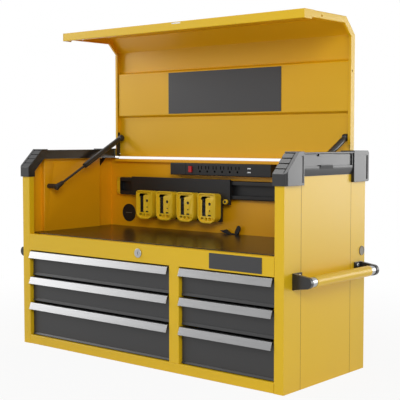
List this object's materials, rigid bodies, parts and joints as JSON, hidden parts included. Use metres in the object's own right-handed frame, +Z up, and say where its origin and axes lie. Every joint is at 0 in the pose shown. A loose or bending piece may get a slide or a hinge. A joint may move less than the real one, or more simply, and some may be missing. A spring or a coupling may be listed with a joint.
{
  "type": "tool chest",
  "caption": "Steel tool chest with a lift-up lid on gas struts, two banks of slide-out drawers, bar handles at the ends, a power strip and a sliding row of battery holders.",
  "frame": {"origin": "on the floor under the middle of the cabinet's base", "axes": "+X to the right when facing the drawers, +Y to the back, +Z up"},
  "size_m": [1.161, 0.42, 1.0195],
  "materials": {
    "yellow_paint": "powder coat, semi-gloss",
    "front_paint": "dark grey powder coat, semi-gloss",
    "pull_metal": "brushed",
    "slide_steel": "zinc plated",
    "cover_plastic": "textured",
    "holder_plastic": "satin",
    "strip_plastic": "satin",
    "red_plastic": "gloss",
    "mat_rubber": "ribbed",
    "bright_metal": "polished",
    "black_steel": "black, satin",
    "plate_dark": "bare dark plate, satin"
  },
  "bodies": {
    "cabinet": {"side_panels": "yellow_paint", "back_panel": "yellow_paint", "base_pan": "yellow_paint", "front_posts": "yellow_paint", "rear_posts": "yellow_paint", "centre_partition": "yellow_paint", "fascia": "yellow_paint", "tray_floor": "yellow_paint", "tray_mat": "mat_rubber", "front_caps": "cover_plastic", "rear_caps": "cover_plastic", "side_trims": "cover_plastic", "handle_brackets": "cover_plastic", "handle_bars": "yellow_paint", "handle_collars": "bright_metal", "handle_screws": "slide_steel", "lock_barrel": "bright_metal", "fascia_plate": "plate_dark", "slide_outers": "slide_steel", "power_strip": "strip_plastic", "holder_rail": "strip_plastic", "cable_plugs": "cover_plastic", "cord_cleat": "strip_plastic", "strut_brackets": "black_steel", "hinge_plates": "slide_steel"},
    "lid": {"lid_shell": "yellow_paint", "lid_band": "yellow_paint", "lid_plate": "plate_dark", "lid_brackets": "black_steel"},
    "strut_rods": {"strut_rods": "bright_metal"},
    "strut_tubes": {"strut_tubes": "black_steel"},
    "rocker": {"rocker_switch": "red_plastic"},
    "carriage": {"holder_carriage": "strip_plastic", "battery_holders": "holder_plastic"},
    "knob": {"carriage_knob": "holder_plastic"},
    "lock_plug": {"lock_plug": "bright_metal"},
    "drawer_left_top": {"drawer_left_top": "front_paint", "pull_left_top": "pull_metal", "slide_inner_left_top": "slide_steel"},
    "slide_middle_left_top": {"slide_middle_left_top": "slide_steel"},
    "drawer_left_middle": {"drawer_left_middle": "front_paint", "pull_left_middle": "pull_metal", "slide_inner_left_middle": "slide_steel"},
    "slide_middle_left_middle": {"slide_middle_left_middle": "slide_steel"},
    "drawer_left_bottom": {"drawer_left_bottom": "front_paint", "pull_left_bottom": "pull_metal", "slide_inner_left_bottom": "slide_steel"},
    "slide_middle_left_bottom": {"slide_middle_left_bottom": "slide_steel"},
    "drawer_right_top": {"drawer_right_top": "front_paint", "pull_right_top": "pull_metal", "slide_inner_right_top": "slide_steel"},
    "slide_middle_right_top": {"slide_middle_right_top": "slide_steel"},
    "drawer_right_middle": {"drawer_right_middle": "front_paint", "pull_right_middle": "pull_metal", "slide_inner_right_middle": "slide_steel"},
    "slide_middle_right_middle": {"slide_middle_right_middle": "slide_steel"},
    "drawer_right_bottom": {"drawer_right_bottom": "front_paint", "pull_right_bottom": "pull_metal", "slide_inner_right_bottom": "slide_steel"},
    "slide_middle_right_bottom": {"slide_middle_right_bottom": "slide_steel"}
  },
  "joints": [
    {"name": "lid_hinge", "type": "hinge", "parent": "cabinet", "child": "lid", "pos_m": [0, 0.1965, 0.6175], "axis": [1, 0, 0], "range_deg": [0, 90]},
    {"name": "strut_swing", "type": "hinge", "parent": "cabinet", "child": "strut_rods", "pos_m": [0, -0.106, 0.513], "axis": [1, 0, 0], "range_deg": [-6.38, 0]},
    {"name": "strut_stroke", "type": "slide", "parent": "strut_rods", "child": "strut_tubes", "axis": [0, 0.8807, 0.4737], "range_m": [-0.0718, 0]},
    {"name": "rocker_tilt", "type": "hinge", "parent": "cabinet", "child": "rocker", "pos_m": [-0.118, 0.1761, 0.5702], "axis": [1, 0, 0], "range_deg": [-8, 8]},
    {"name": "carriage_slide", "type": "slide", "parent": "cabinet", "child": "carriage", "axis": [1, 0, 0], "range_m": [-0.058, 0.41]},
    {"name": "knob_turn", "type": "hinge", "parent": "carriage", "child": "knob", "pos_m": [0.029, 0.1764, 0.468], "axis": [0, 1, 0], "range_deg": [0, 180]},
    {"name": "lock_turn", "type": "hinge", "parent": "cabinet", "child": "lock_plug", "pos_m": [0, -0.203, 0.33475], "axis": [0, 1, 0], "range_deg": [0, 90]},
    {"name": "drawer_left_top_slide", "type": "slide", "parent": "cabinet", "child": "drawer_left_top", "axis": [0, -1, 0], "range_m": [0, 0.33]},
    {"name": "slide_left_top_slide", "type": "slide", "parent": "cabinet", "child": "slide_middle_left_top", "axis": [0, -1, 0], "range_m": [0, 0.165]},
    {"name": "drawer_left_middle_slide", "type": "slide", "parent": "cabinet", "child": "drawer_left_middle", "axis": [0, -1, 0], "range_m": [0, 0.33]},
    {"name": "slide_left_middle_slide", "type": "slide", "parent": "cabinet", "child": "slide_middle_left_middle", "axis": [0, -1, 0], "range_m": [0, 0.165]},
    {"name": "drawer_left_bottom_slide", "type": "slide", "parent": "cabinet", "child": "drawer_left_bottom", "axis": [0, -1, 0], "range_m": [0, 0.33]},
    {"name": "slide_left_bottom_slide", "type": "slide", "parent": "cabinet", "child": "slide_middle_left_bottom", "axis": [0, -1, 0], "range_m": [0, 0.165]},
    {"name": "drawer_right_top_slide", "type": "slide", "parent": "cabinet", "child": "drawer_right_top", "axis": [0, -1, 0], "range_m": [0, 0.33]},
    {"name": "slide_right_top_slide", "type": "slide", "parent": "cabinet", "child": "slide_middle_right_top", "axis": [0, -1, 0], "range_m": [0, 0.165]},
    {"name": "drawer_right_middle_slide", "type": "slide", "parent": "cabinet", "child": "drawer_right_middle", "axis": [0, -1, 0], "range_m": [0, 0.33]},
    {"name": "slide_right_middle_slide", "type": "slide", "parent": "cabinet", "child": "slide_middle_right_middle", "axis": [0, -1, 0], "range_m": [0, 0.165]},
    {"name": "drawer_right_bottom_slide", "type": "slide", "parent": "cabinet", "child": "drawer_right_bottom", "axis": [0, -1, 0], "range_m": [0, 0.33]},
    {"name": "slide_right_bottom_slide", "type": "slide", "parent": "cabinet", "child": "slide_middle_right_bottom", "axis": [0, -1, 0], "range_m": [0, 0.165]}
  ],
  "couplings": [
    {"joint": "strut_swing", "follows": "lid_hinge", "ratio": -0.070342},
    {"joint": "strut_stroke", "follows": "lid_hinge", "m_per_rad": -0.045524},
    {"joint": "slide_left_top_slide", "follows": "drawer_left_top_slide", "ratio": 0.5},
    {"joint": "slide_left_middle_slide", "follows": "drawer_left_middle_slide", "ratio": 0.5},
    {"joint": "slide_left_bottom_slide", "follows": "drawer_left_bottom_slide", "ratio": 0.5},
    {"joint": "slide_right_top_slide", "follows": "drawer_right_top_slide", "ratio": 0.5},
    {"joint": "slide_right_middle_slide", "follows": "drawer_right_middle_slide", "ratio": 0.5},
    {"joint": "slide_right_bottom_slide", "follows": "drawer_right_bottom_slide", "ratio": 0.5}
  ]
}
